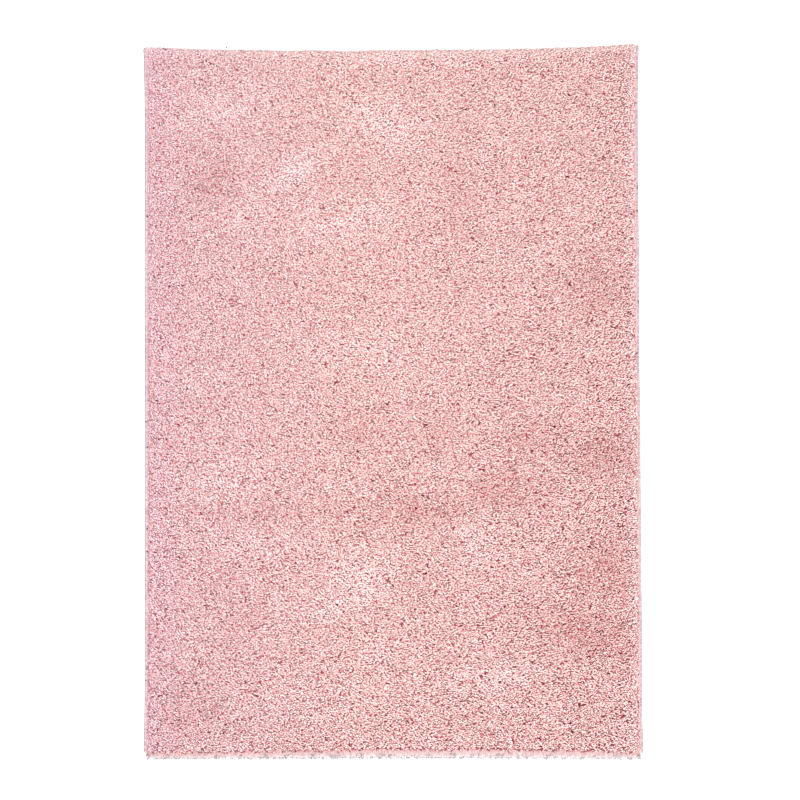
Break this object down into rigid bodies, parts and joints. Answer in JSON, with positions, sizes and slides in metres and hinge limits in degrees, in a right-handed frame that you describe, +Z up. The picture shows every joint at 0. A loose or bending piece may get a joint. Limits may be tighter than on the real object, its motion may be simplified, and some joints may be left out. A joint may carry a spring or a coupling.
{
  "type": "shag rug",
  "caption": "Rectangular deep-pile shag rug that lies flat on a floor, with a woven ground cloth and serged long sides.",
  "frame": {"origin": "on the floor, below the middle of the whole rug's bounding box", "axes": "+X across the rug to its right side, +Y along its length to the end the pile lies away from, +Z up out of the pile"},
  "size_m": [1.618, 2.318, 0.0393],
  "materials": {
    "backing": "woven, matte",
    "pile_yarn": "twisted yarn, soft sheen",
    "edge_yarn": "wound yarn, matte"
  },
  "bodies": {
    "root": {"ground_cloth": "backing", "shag_pile": "pile_yarn", "side_binding_left": "edge_yarn", "side_binding_right": "edge_yarn"}
  },
  "joints": []
}
